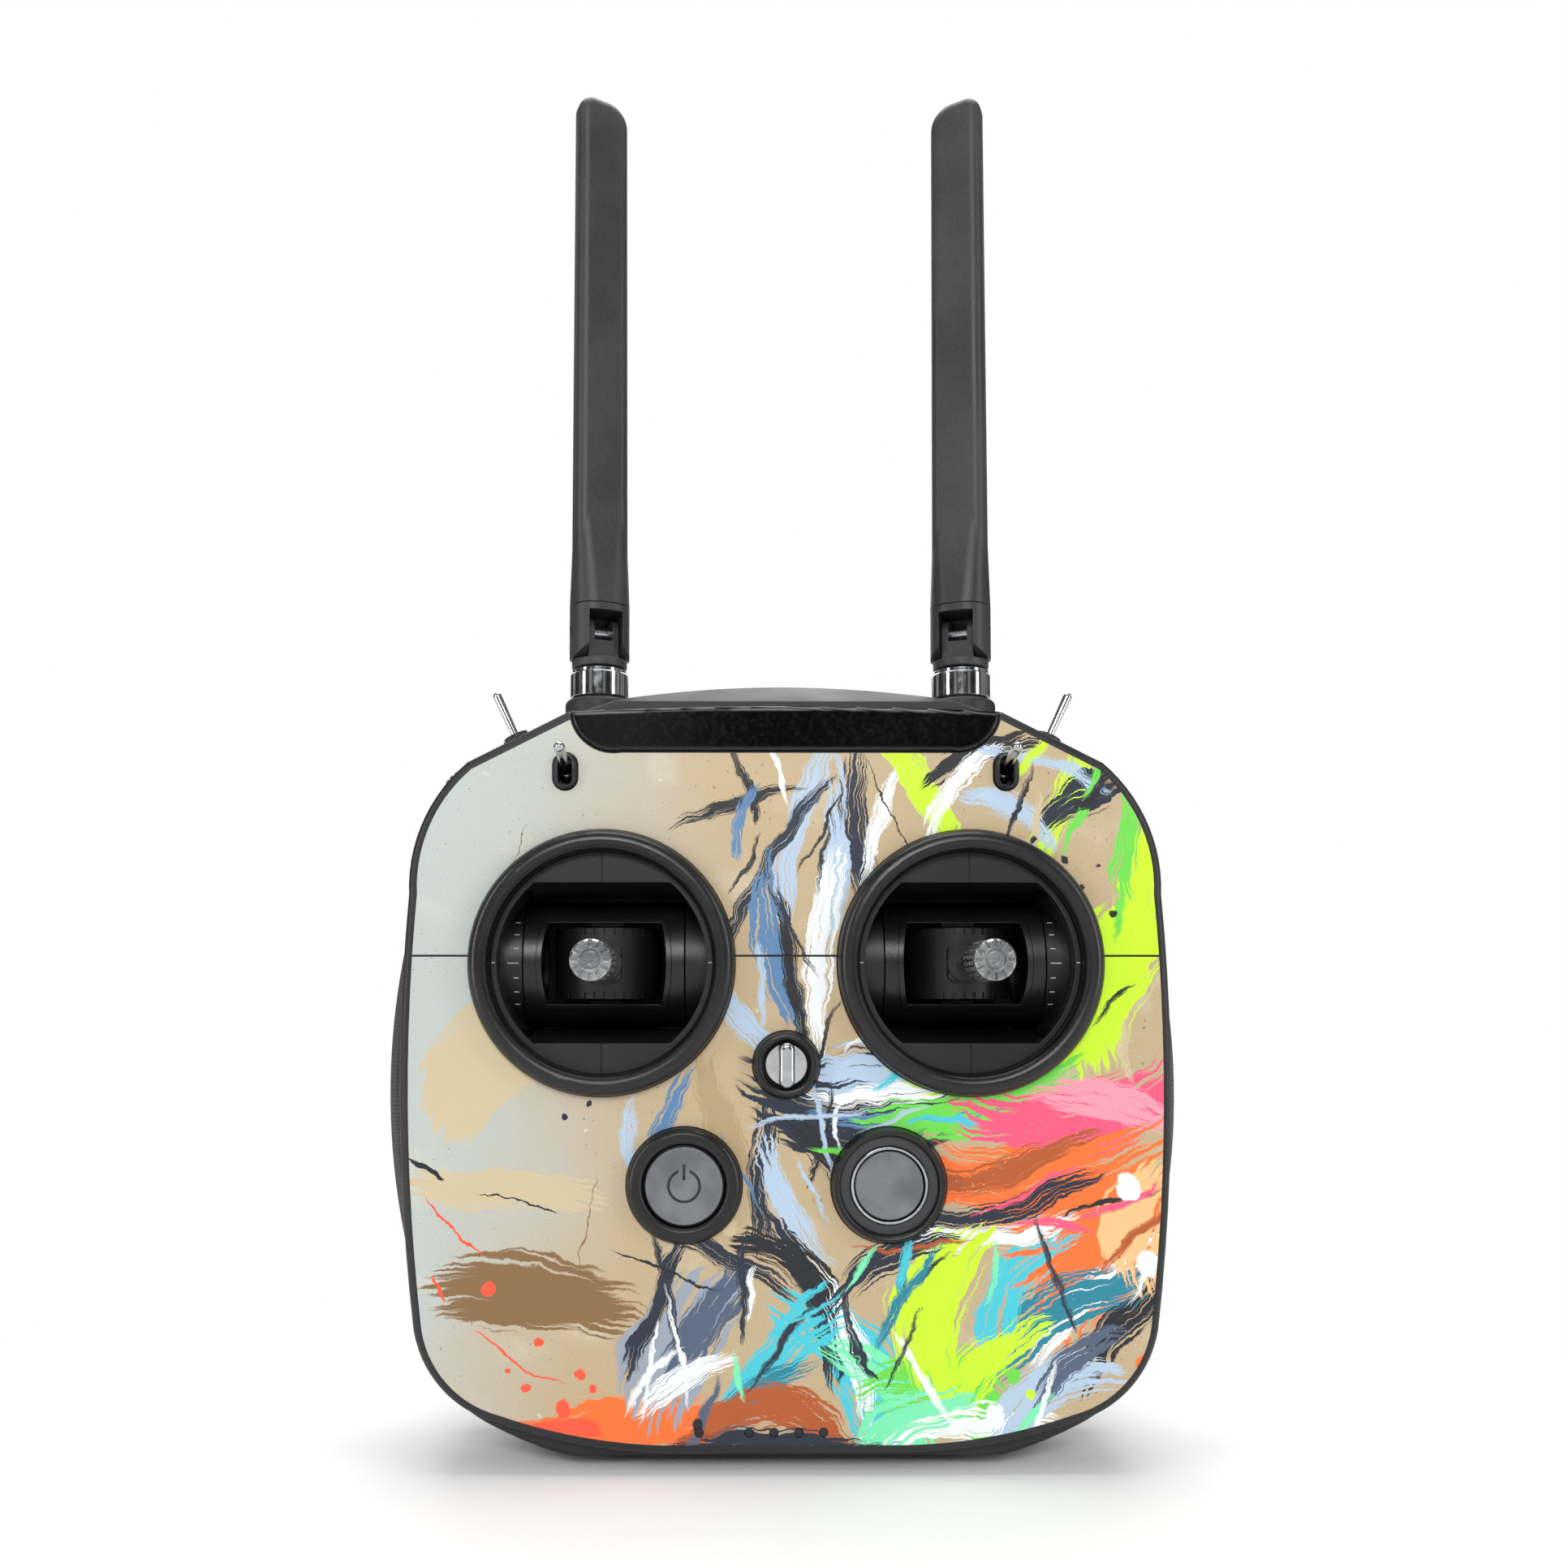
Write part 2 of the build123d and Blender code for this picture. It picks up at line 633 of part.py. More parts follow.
def build_home_button():
    """Dished home button cap with its stem."""
    body = slab(Circle(HOME_R), -21.4, -16.4)
    body = chamfer(outer_edges(body, -21.4), 0.3)
    dish = Pos(0, -21.4 - 58.5, 0) * Sphere(59.0)
    body -= dish
    return body + slab(Circle(2.2), -16.4, -11.2)


def build_knob_bezel():
    """Rim and floor of the mode knob recess."""
    profile = make_face(
            [
                Line((2.56, -17.4), (2.56, -18.0)),
                Line((2.56, -18.0), (5.6, -18.0)),
                Line((5.6, -18.0), (5.6, -21.6)),
                ThreePointArc((5.6, -21.6), (6.6, -22.35), (7.5, -21.4)),
                Line((7.5, -21.4), (KNOB_BEZEL_R, -20.6)),
                Line((KNOB_BEZEL_R, -20.6), (KNOB_BEZEL_R, -19.65)),
                Line((KNOB_BEZEL_R, -19.65), (6.9, -19.65)),
                Line((6.9, -19.65), (6.9, -17.4)),
                Line((6.9, -17.4), (2.56, -17.4)),
            ]
    )
    return turned_y(profile, 0, KNOB_Z)


def build_mode_knob():
    """Bright mode knob: a disc with a rounded bar handle."""
    spot = Pos(0, KNOB_Z)
    disc = slab(spot * Circle(KNOB_R), -20.4, -18.35)
    disc = chamfer(outer_edges(disc, -20.4), 0.3)
    bar = slab(spot * SlotOverall(10.6, 3.6, rotation=90), -24.4, -20.0)
    bar = fillet(outer_edges(bar, -24.4), 1.2)
    return disc + bar + slab(spot * Circle(2.5), -18.35, -12)


# ---- toggles ----
def lever(length, root_r, tip_r, ball_r):
    """A toggle lever along Z with its pivot ball at the origin."""
    profile = make_face(
            [
                Line((0, 0), (root_r, 0)),
                Line((root_r, 0), (tip_r, length - tip_r)),
                ThreePointArc(
                    (tip_r, length - tip_r),
                    (tip_r * cos(radians(45)), length - tip_r + tip_r * sin(radians(45))),
                    (0, length),
                ),
                Line((0, length), (0, 0)),
            ]
    )
    return revolve(Plane.XZ * profile, axis=Axis.Z) + Sphere(ball_r)


def build_front_switches():
    """Slotted bezels and switch bodies of the two front toggles."""
    body = slab(SlotOverall(8.5, 5.5, rotation=90), -21.3, -17.2)
    body = chamfer(outer_edges(body, -21.3), 0.5)
    body += slab(Rectangle(8, 12), -17.3, -9.6)
    body -= slab(SlotOverall(7.0, 3.3, rotation=90), -22, -17.2)
    body -= Pos(0, FRONT_TOGGLE_PIVOT_Y, 0) * Sphere(2.4)
    body -= slab(SlotOverall(5.0, 3.0, rotation=90), -18, FRONT_TOGGLE_PIVOT_Y)
    left = Pos(-FRONT_TOGGLE_X, 0, FRONT_TOGGLE_Z) * body
    right = Pos(FRONT_TOGGLE_X, 0, FRONT_TOGGLE_Z) * body
    return left + right


def build_front_toggle(side):
    """Front toggle lever, thrown up."""
    throw = radians(FRONT_TOGGLE_THROW)
    seat = Plane(
        origin=(side * FRONT_TOGGLE_X, FRONT_TOGGLE_PIVOT_Y, FRONT_TOGGLE_Z),
        x_dir=(1, 0, 0),
        z_dir=(0, -cos(throw), sin(throw)),
    )
    return seat * lever(18.4, 0.95, 1.25, 2.1)


def build_shoulder_bushings():
    """Threaded bushings of the two shoulder toggles with their ring nuts."""
    pair = Part()
    for side in (-1, 1):
        seat = shoulder_plane(side, SHOULDER_TOGGLE_X, SHOULDER_TOGGLE_Y)
        bushing = Pos(0, 0, -8) * Cylinder(3.1, 11.4, align=(Align.CENTER, Align.CENTER, Align.MIN))
        nut = Pos(0, 0, 0.9) * extrude(RegularPolygon(3.9, 6), amount=1.7)
        bushing += nut
        bushing -= Pos(0, 0, 1.2) * Sphere(2.05)
        opening = Pos(0, 0, 1.2) * Cone(
            0.9, 2.1, 2.3, align=(Align.CENTER, Align.CENTER, Align.MIN)
        )
        pair += seat * (bushing - opening)
    return pair


def build_shoulder_toggle(side):
    """Shoulder toggle lever, standing straight out of its bushing."""
    seat = shoulder_plane(side, SHOULDER_TOGGLE_X, SHOULDER_TOGGLE_Y, 1.2)
    return seat * lever(14.0, 0.9, 1.12, 1.85)


def build_control_wheel():
    """Knurled metal wheel that shows at the left shoulder."""
    spot = Pos(WHEEL_X, WHEEL_Z)
    wheel = slab(spot * Circle(WHEEL_R), -7.5, -2.9)
    wheel = chamfer(wheel.edges().filter_by(GeomType.CIRCLE), 0.4)
    teeth = Part()
    for step in range(36):
        tooth = Rot(0, step * 10, 0) * block((-0.2, 0.2), (-8, -2), (WHEEL_R - 0.35, WHEEL_R + 1))
        teeth += Pos(WHEEL_X, 0, WHEEL_Z) * tooth
    return wheel - teeth + slab(spot * Circle(1.5), -11.5, -7.5)


def build_shoulder_button(side):
    """Push button on the rear of a shoulder."""
    cap = extrude(shoulder_button_plane(side, -3.4) * RectangleRounded(13.4, 7.4, 3.3), amount=4.3)
    flange = extrude(shoulder_button_plane(side, -3.6) * RectangleRounded(15.4, 9.4, 4.2), amount=0.8)
    return cap + flange


def build_rear_button(side):
    """Round push button on the back."""
    x, z = REAR_BUTTON
    body = slab(Pos(side * x, z) * Circle(4.7), BACK_FACE - 3.8, BACK_FACE + 1.3)
    body = fillet(outer_edges(body, BACK_FACE + 1.3), 0.7)
    return body + slab(Pos(side * x, z) * Circle(5.6), BACK_FACE - 3.8, BACK_FACE - 2.9)


# ---- antennas, drawn about their own axis with the hinge slot towards -Y ----
def antenna_spot(side):
    """Where an antenna stands, turned so that its slot looks inwards."""
    return Pos(side * ANTENNA_X, ANTENNA_Y, 0) * Rot(0, 0, -side * ANTENNA_TWIST)


def build_antenna_sockets():
    """Black bosses with threaded stubs on the hump."""
    boss = post(Circle(8.6), 177.6, 185.2)
    boss = fillet(boss.faces().sort_by(Axis.Z)[-1].edges(), 1.6)
    boss -= slab(rear_top_face(), -30, 30)
    boss += post(Circle(5.9), 172.0, 184.0)
    boss += post(Circle(4.5), 183.0, 190.0)
    boss -= post(Circle(1.2), 171.0, 191.0)
    return both(Pos(ANTENNA_X, ANTENNA_Y, 0) * boss)


def rear_top_face():
    """Section of the hump top, seen from an antenna axis."""
    return Pos(-ANTENNA_X, 0) * offset(REAR, amount=0.02)


def build_antenna_nuts():
    """Bright coupling nuts with a small upper lip."""
    profile = polygon(
        (4.5, 185.3), (6.9, 185.3), (7.35, 185.8), (7.35, 191.5), (7.0, 191.9), (7.0, 192.6),
        (6.7, 192.9), (3.1, 192.9), (3.1, 190.2), (4.5, 190.2),
    )
    nut = revolve(Plane.XZ * profile, axis=Axis.Z)
    return both(Pos(ANTENNA_X, ANTENNA_Y, 0) * nut)


def build_antenna_knuckle():
    """Swivelling collar with the hinge fork."""
    body = post(Circle(7.0), 193.2, 195.4)
    body = fillet(body.edges().filter_by(GeomType.CIRCLE), 0.4)
    body += post(Circle(3.05), 190.5, 193.2)
    side_view = Pos(0, HINGE_Z) * Circle(3.6) + Pos(0, 198.7) * Rectangle(7.2, 7.6)
    body += bar_x(side_view, -4.0, 4.0)
    body -= block((-2.4, 2.4), (-10, 10), (200.2, 210))
    return body - bar_x(Pos(0, HINGE_Z) * Circle(1.55), -10, 10)


def build_antenna_pin():
    """Hinge pin pressed through the sleeve."""
    return bar_x(Pos(0, HINGE_Z) * Circle(1.5), -7.3, 7.3)


def build_antenna_sleeve():
    """Sleeve over the fork, open below and towards the fold."""
    body = post(RectangleRounded(15.2, 13.0, 6.2), 195.6, BLADE_BOTTOM)
    corner = block((-10, 10), (-10, 0), (190, HINGE_Z))
    body -= corner - bar_x(Pos(0, HINGE_Z) * Circle(6.9), -10, 10)
    body -= block((-4.4, 4.4), (-10, 4.1), (190, HINGE_Z + 4.7))
    return body - bar_x(Pos(0, HINGE_Z) * Circle(1.5), -10, 10)


def build_antenna_blade(side):
    """Flat antenna blade with a lopsided rounded tip."""
    inner, outer = -side * 6.5, side * 6.5
    outer_foot, inner_foot = side * 7.0, -side * 7.0
    front_view = polygon(
        (inner_foot, BLADE_BOTTOM + 6), (inner, BLADE_TOP - 1.8), (outer, BLADE_TOP),
        (outer_foot, BLADE_BOTTOM + 6),
    )
    low_tip = sorted(front_view.vertices(), key=lambda v: v.Y)[2]
    front_view = fillet(low_tip, 6.5)
    corner = min(front_view.vertices(), key=lambda v: abs(v.X - outer) + abs(v.Y - BLADE_TOP))
    front_view = fillet(corner, 3.6)
    blade = slab(front_view, -3.65, 3.65)
    blade = fillet(outer_edges(blade, -3.65) + outer_edges(blade, 3.65), 2.6)
    foot = loft(
        [
            Plane.XY.offset(BLADE_BOTTOM + 0.2) * RectangleRounded(15.2, 13.0, 6.2),
            Plane.XY.offset(BLADE_BOTTOM + 24) * RectangleRounded(13.6, 7.0, 3.2),
        ]
    )
    return blade + foot


def build_all():
    """Every piece, by node name."""
    parts = {
        "front_shell": build_front_shell(),
        "rear_shell": build_rear_shell(),
        "top_panel": build_top_panel(),
        "battery_door": build_battery_door(),
        "battery_pack": build_battery_pack(),
        "main_board": build_main_board(),
        "case_screws": build_case_screws(),
        "bracket_inserts": build_bracket_inserts(),
        "charge_socket": build_charge_socket(),
        "status_lights": build_status_lights(),
        "mode_knob_bezel": build_knob_bezel(),
        "mode_knob": build_mode_knob(),
        "power_bezel": Pos(-BUTTON_X, 0, BUTTON_Z) * build_button_bezel(9.7),
        "power_button": Pos(-BUTTON_X, 0, BUTTON_Z) * build_power_button(),
        "home_bezel": Pos(BUTTON_X, 0, BUTTON_Z) * build_button_bezel(11.35),
        "home_light_ring": Pos(BUTTON_X, 0, BUTTON_Z) * build_home_ring(),
        "home_trim_ring": Pos(BUTTON_X, 0, BUTTON_Z) * build_home_trim(),
        "home_button": Pos(BUTTON_X, 0, BUTTON_Z) * build_home_button(),
        "front_toggle_switches": build_front_switches(),
        "shoulder_toggle_bushings": build_shoulder_bushings(),
        "control_wheel": build_control_wheel(),
        "antenna_sockets": build_antenna_sockets(),
        "antenna_nuts": build_antenna_nuts(),
    }
    parts["skin_upper"], parts["skin_lower"] = build_skins()
    bezel, cover, frame = build_gimbal_bezel(), build_gimbal_cover(), build_gimbal_frame()
    cradle, core = build_gimbal_cradle(), build_gimbal_core()
    shaft, head, locknut = build_stick_shaft(), build_stick_head(), build_stick_locknut()
    knuckle, pin, sleeve = build_antenna_knuckle(), build_antenna_pin(), build_antenna_sleeve()
    pad = build_grip_pad()
    parts["gimbal_scales"] = build_gimbal_scale(-1) + build_gimbal_scale(1)
    for name, side in SIDES:
        spot, mast = stick_spot(side), antenna_spot(side)
        parts[f"{name}_gimbal_bezel"] = spot * bezel
        parts[f"{name}_gimbal_cover"] = spot * cover
        parts[f"{name}_gimbal_frame"] = spot * frame
        parts[f"{name}_gimbal_cradle"] = spot * cradle
        parts[f"{name}_gimbal_core"] = spot * core
        parts[f"{name}_stick_shaft"] = spot * shaft
        parts[f"{name}_stick_head"] = spot * head
        parts[f"{name}_stick_locknut"] = spot * locknut
        parts[f"{name}_front_toggle"] = build_front_toggle(side)
        parts[f"{name}_shoulder_toggle"] = build_shoulder_toggle(side)
        parts[f"{name}_shoulder_button"] = build_shoulder_button(side)
        parts[f"{name}_rear_button"] = build_rear_button(side)
        parts[f"{name}_antenna_knuckle"] = mast * knuckle
        parts[f"{name}_antenna_pin"] = mast * pin
        parts[f"{name}_antenna_sleeve"] = mast * sleeve
        parts[f"{name}_antenna_blade"] = mast * build_antenna_blade(side)
    parts["right_grip_pad"] = pad
    parts["left_grip_pad"] = mirrored_x(pad)
    return parts


def main():
    """Write one STEP file for each piece."""
    os.makedirs("parts", exist_ok=True)
    for name, shape in build_all().items():
        solids = shape.solids()
        export_step(solids[0] if len(solids) == 1 else Compound(solids), f"parts/{name}.step")


main()
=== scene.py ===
import math
import random

import bmesh
import bpy
from mathutils import Euler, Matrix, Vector


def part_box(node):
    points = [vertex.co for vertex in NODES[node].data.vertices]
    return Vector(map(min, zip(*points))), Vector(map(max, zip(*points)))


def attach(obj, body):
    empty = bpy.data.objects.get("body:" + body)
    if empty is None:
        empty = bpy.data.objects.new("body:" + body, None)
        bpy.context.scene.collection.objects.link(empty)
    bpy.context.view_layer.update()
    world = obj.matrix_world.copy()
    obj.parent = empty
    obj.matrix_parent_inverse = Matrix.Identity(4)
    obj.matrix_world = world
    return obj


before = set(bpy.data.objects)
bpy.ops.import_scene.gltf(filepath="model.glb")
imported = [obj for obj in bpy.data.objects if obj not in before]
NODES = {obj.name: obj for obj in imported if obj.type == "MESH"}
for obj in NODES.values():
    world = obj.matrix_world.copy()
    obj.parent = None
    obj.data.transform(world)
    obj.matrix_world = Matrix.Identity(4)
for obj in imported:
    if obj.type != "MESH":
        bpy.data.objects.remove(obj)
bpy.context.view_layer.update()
SIDES = ("left", "right")


# ---- node helpers ----
def srgb(red, green, blue):
    """Linear colour from 0-255 display values."""

    def linear(value):
        value /= 255
        return value / 12.92 if value <= 0.04045 else ((value + 0.055) / 1.055) ** 2.4

    return (linear(red), linear(green), linear(blue), 1.0)


class Tree:
    """A material's or group's node tree with short calls to add to it."""

    def __init__(self, tree):
        self.tree = tree

    def add(self, kind, links=None, **settings):
        """Adds a node; links maps a socket to a value or to another node's output."""
        made = self.tree.nodes.new("ShaderNode" + kind)
        for name, value in settings.items():
            setattr(made, name, value)
        for socket, value in (links or {}).items():
            target = made.inputs[socket]
            if isinstance(value, bpy.types.NodeSocket):
                self.tree.links.new(value, target)
            else:
                target.default_value = value
        return made

    def math(self, operation, first, second=0.0, clamp=False):
        """One Math node's output."""
        made = self.add("Math", {0: first, 1: second}, operation=operation, use_clamp=clamp)
        return made.outputs[0]

    def ranged(self, value, low, high, to_low=0.0, to_high=1.0, smooth=True):
        """A value mapped from one range to another."""
        kind = "SMOOTHSTEP" if smooth else "LINEAR"
        links = {"Value": value, "From Min": low, "From Max": high}
        links.update({"To Min": to_low, "To Max": to_high})
        return self.add("MapRange", links, interpolation_type=kind).outputs["Result"]

    def noise(self, vector, scale, detail=2.0, rough=0.5):
        """A noise texture's value."""
        links = {"Vector": vector, "Scale": scale, "Detail": detail, "Roughness": rough}
        return self.add("TexNoise", links).outputs["Fac"]

    def mix(self, factor, below, above, blend="MIX"):
        """Colours mixed by a factor."""
        made = self.add("Mix", data_type="RGBA", blend_type=blend)
        for socket, value in ((0, factor), (6, below), (7, above)):
            if isinstance(value, bpy.types.NodeSocket):
                self.tree.links.new(value, made.inputs[socket])
            else:
                made.inputs[socket].default_value = value
        return made.outputs[2]


def new_material(name):
    """A material with its principled shader linked to the output."""
    made = bpy.data.materials.new(name)
    made.use_nodes = True
    tree = Tree(made.node_tree)
    made.node_tree.nodes.clear()
    shader = tree.add("BsdfPrincipled")
    output = tree.add("OutputMaterial")
    made.node_tree.links.new(shader.outputs[0], output.inputs[0])
    coords = tree.add("TexCoord").outputs["Object"]
    return made, tree, shader, coords


def rounded(tree, radius):
    """Normals softened along edges."""
    return tree.add("Bevel", {"Radius": radius}, samples=4).outputs[0]


def link(tree, output, shader, socket):
    """Links an output to one of the shader's inputs."""
    tree.tree.links.new(output, shader.inputs[socket])


def bumped(tree, height, strength, distance, edge):
    """A bump normal over softened edges."""
    links = {"Height": height, "Strength": strength, "Distance": distance}
    if edge:
        links["Normal"] = rounded(tree, edge)
    return tree.add("Bump", links).outputs[0]


def plastic(name, dark, light, rough, grain=5200.0, bump=0.35, edge=0.00035, level=0.5):
    """Moulded plastic: spark grain, faint handling shine and softened edges."""
    made, tree, shader, coords = new_material(name)
    fine = tree.noise(coords, grain, 2.0)
    broad = tree.noise(coords, 34.0, 4.0)
    tone = tree.math("ADD", tree.math("MULTIPLY", fine, 0.45), tree.math("MULTIPLY", broad, 0.55))
    link(tree, tree.mix(tree.ranged(tone, 0.35, 0.68), dark, light), shader, "Base Color")
    worn = tree.ranged(broad, 0.3, 0.72, rough[0], rough[1])
    grit = tree.ranged(fine, 0.2, 0.8, -0.05, 0.05)
    link(tree, tree.math("ADD", worn, grit, clamp=True), shader, "Roughness")
    link(tree, bumped(tree, fine, bump, 0.00008, edge), shader, "Normal")
    shader.inputs["Specular IOR Level"].default_value = level
    return made


# how far tool marks are drawn out along each axis
EVEN, TURNED = (1, 1, 1), (1, 12, 1)


def metal(name, dark, light, rough, brush, scale, bump, edge=0.00025):
    """Metal with fine tool marks along one way and slight stains."""
    made, tree, shader, coords = new_material(name)
    lined = tree.add("Mapping", {"Vector": coords, "Scale": brush}).outputs[0]
    marks = tree.noise(lined, scale, 3.0)
    stain = tree.noise(coords, 120.0, 3.0)
    link(tree, tree.mix(tree.ranged(stain, 0.3, 0.7), dark, light), shader, "Base Color")
    spread = tree.ranged(marks, 0.25, 0.75, rough[0], rough[1])
    link(tree, spread, shader, "Roughness")
    link(tree, bumped(tree, marks, bump, 0.00004, edge), shader, "Normal")
    shader.inputs["Metallic"].default_value = 1.0
    return made


# ---- grip rubber ----
GRIP_MIDDLE_X, GRIP_MIDDLE_Y, GRIP_RADIUS = 0.066, 0.006, 0.031
WEAVE_PITCH = 0.0019


def rubber():
    """A fine diagonal weave round each grip barrel, with a painted highlight on its crests."""
    made, tree, shader, coords = new_material("grip_rubber_weave")
    parts = tree.add("SeparateXYZ", {0: coords})
    across = tree.math("SUBTRACT", tree.math("ABSOLUTE", parts.outputs[0]), GRIP_MIDDLE_X)
    deep = tree.math("SUBTRACT", parts.outputs[1], GRIP_MIDDLE_Y)
    round_way = tree.math("MULTIPLY", tree.math("ARCTAN2", deep, across), GRIP_RADIUS)
    up = parts.outputs[2]
    pitch = 2 * math.pi / WEAVE_PITCH
    ridges = []
    for sign in (1.0, -1.0):
        line = tree.math("ADD", round_way, tree.math("MULTIPLY", up, sign))
        ridges.append(tree.math("SINE", tree.math("MULTIPLY", line, pitch)))
    weave = tree.math("MULTIPLY", ridges[0], ridges[1])
    fine = tree.noise(coords, 4200.0)
    height = tree.math("ADD", weave, tree.math("MULTIPLY", fine, 0.4))
    # painted highlight: the raised weave crests are painted lighter grey, broken up in broad patches
    lift = tree.ranged(weave, -0.8, 0.9)
    patchy_crest_highlight = tree.math("MULTIPLY", lift, tree.ranged(tree.noise(coords, 30.0, 4.0), 0.3, 0.7))
    colour = tree.mix(patchy_crest_highlight, srgb(44, 44, 46), srgb(84, 84, 87))
    link(tree, colour, shader, "Base Color")
    link(tree, tree.ranged(fine, 0.2, 0.8, 0.6, 0.78), shader, "Roughness")
    link(tree, bumped(tree, height, 0.6, 0.00025, 0), shader, "Normal")
    return made


# ---- printed skin: a generic abstract paint pattern, in the X-Z plane of the face ----
NAVY, INK, WHITE = srgb(22, 34, 52), srgb(12, 16, 24), srgb(236, 240, 240)
ICE, BLUE, CYAN = srgb(176, 198, 220), srgb(86, 128, 170), srgb(64, 196, 212)
TEAL, LIME, GREEN = srgb(26, 128, 150), srgb(200, 244, 32), srgb(104, 214, 70)
MINT, ORANGE, RUST = srgb(120, 232, 176), srgb(248, 112, 40), srgb(176, 84, 30)
PINK, RED, TAN = srgb(236, 84, 122), srgb(246, 84, 52), srgb(176, 152, 112)
SAND, GREY, SLATE = srgb(204, 186, 150), srgb(150, 160, 172), srgb(76, 92, 116)
BROWN = srgb(132, 100, 60)

# brush strokes: middle x and z, half length and half width in mm, angle in degrees, colour,
# how streaky, how bent
STROKES = [
    (-58, 42, 26, 9, -8, BROWN, 0.5, 0.1), (-66, 66, 24, 5, -6, SAND, 0.4, 0.0),
    (-70, 96, 20, 14, 30, SAND, 0.2, 0.2), (-38, 12, 26, 7, 4, ORANGE, 0.5, 0.1),
    (-56, 10, 14, 5, 10, RED, 0.6, 0.2), (-26, 30, 20, 10, 64, GREY, 0.7, 0.1),
    (-20, 34, 17, 5, 56, SLATE, 0.8, 0.1), (-30, 40, 20, 2.2, 68, NAVY, 0.6, 0.1),
    (-14, 50, 20, 2.4, -30, NAVY, 0.7, 0.1), (-24, 22, 13, 3, 30, WHITE, 0.9, 0.2),
    (2, 148, 26, 3.0, 76, ICE, 0.9, 0.4), (-4, 142, 24, 2.0, 60, NAVY, 0.9, 0.5),
    (16, 146, 22, 4.2, 98, NAVY, 0.9, 0.3), (12, 140, 20, 2.6, 88, ICE, 0.9, -0.3),
    (22, 152, 18, 1.6, 70, WHITE, 0.9, 0.3), (-12, 156, 16, 1.6, 20, INK, 0.9, 0.6),
    (-3, 122, 22, 4.0, 100, BLUE, 0.8, 0.2), (8, 120, 26, 3.2, 84, WHITE, 0.9, 0.2),
    (2, 112, 24, 1.8, 96, INK, 0.9, -0.3), (-10, 104, 16, 3.0, 130, ICE, 0.9, 0.3),
    (-30, 78, 18, 2.4, 76, BLUE, 0.8, 0.5), (-36, 72, 15, 1.6, 100, ICE, 0.9, 0.6),
    (-16, 82, 17, 4, 112, TAN, 0.3, 0.2), (-6, 70, 20, 2.6, 84, NAVY, 0.9, 0.2),
    (0, 62, 17, 2.8, 120, ICE, 0.9, 0.3), (18, 84, 27, 15, 8, NAVY, 0.8, -0.2),
    (28, 94, 25, 5.5, 12, ICE, 0.9, -0.3), (30, 88, 25, 3.0, 8, WHITE, 0.9, -0.3),
    (30, 82, 24, 2.6, 2, BLUE, 0.9, -0.3), (12, 70, 16, 4, -50, INK, 0.9, 0.2),
    (56, 98, 30, 8, 24, LIME, 0.7, -0.3), (72, 114, 22, 13, 62, LIME, 0.4, 0.2),
    (44, 84, 27, 5.5, 14, GREEN, 0.9, -0.3), (82, 132, 26, 5, 80, LIME, 0.6, 0.1),
    (62, 150, 30, 3.6, 66, LIME, 0.9, 0.1), (33, 158, 22, 3.4, -58, LIME, 0.7, 0.1),
    (80, 150, 18, 3, 84, GREEN, 0.8, 0.1), (68, 158, 15, 4, 30, NAVY, 0.9, 0.4),
    (46, 168, 15, 3.4, 20, INK, 0.9, 0.3), (54, 154, 13, 3, -30, ICE, 0.9, 0.4),
    (40, 160, 15, 2.2, 50, WHITE, 0.9, 0.4), (58, 166, 18, 1.8, -16, ICE, 0.9, 0.4),
    (66, 80, 27, 9, 10, PINK, 0.6, -0.3), (76, 86, 18, 4, -14, srgb(250, 150, 170), 0.9, 0.3),
    (62, 66, 30, 10, 6, ORANGE, 0.8, -0.3), (72, 54, 24, 12, 40, ORANGE, 0.7, 0.3),
    (50, 70, 24, 3.4, 14, RUST, 0.9, -0.3), (48, 60, 26, 3.4, 12, NAVY, 0.9, -0.4),
    (44, 54, 24, 3, 4, WHITE, 0.9, -0.4), (70, 42, 22, 3.4, 44, WHITE, 0.9, 0.3),
    (60, 36, 25, 6, 34, TEAL, 0.9, 0.3), (76, 34, 18, 4, 52, INK, 0.9, 0.3),
    (80, 58, 15, 8, 76, srgb(255, 190, 130), 0.8, 0.2), (52, 44, 18, 5.5, 56, CYAN, 0.9, 0.4),
    (18, 24, 25, 8, -58, CYAN, 0.8, 0.4), (12, 36, 25, 3.6, -62, WHITE, 0.9, 0.4),
    (6, 42, 23, 3.0, -68, NAVY, 0.9, 0.4), (24, 20, 20, 4.5, -48, MINT, 0.9, 0.4),
    (38, 20, 20, 10, -22, GREEN, 0.6, 0.3), (32, 38, 22, 9, 78, LIME, 0.5, 0.3),
    (46, 26, 17, 5, 46, LIME, 0.8, 0.3), (38, 12, 24, 4, 6, WHITE, 0.9, 0.2),
    (28, 14, 15, 5, 24, MINT, 0.9, 0.2), (-4, 26, 21, 5.5, 48, CYAN, 0.9, 0.3),
    (-8, 18, 17, 3.4, 40, TEAL, 0.9, 0.3), (-10, 14, 19, 4, 20, RUST, 0.9, 0.3),
    (4, 14, 15, 5, -30, RUST, 0.9, 0.3), (2, 50, 15, 5, -40, INK, 0.9, 0.3),
    (-2, 8, 24, 3, 0, NAVY, 0.9, 0.1), (22, 50, 17, 4, 30, NAVY, 0.9, 0.4),
    (60, 20, 17, 6, 28, ICE, 0.9, 0.3), (66, 26, 15, 3, 44, SLATE, 0.9, 0.3),
]
# thin drawn lines: ends in mm, half width, colour
LINES = [
    (-88, 74, -78, 69, 0.7, INK), (-72, 66, -52, 59, 0.25, INK), (-42, 53, -14, 42, 0.4, INK),
    (-84, 66, -70, 50, 0.35, RED), (-74, 34, -50, 20, 0.35, RED), (-82, 46, -78, 40, 0.5, RED),
    (-60, 152, -66, 138, 0.12, BROWN), (-44, 70, -49, 44, 0.15, BROWN), (18, 168, 30, 140, 0.2, INK),
]
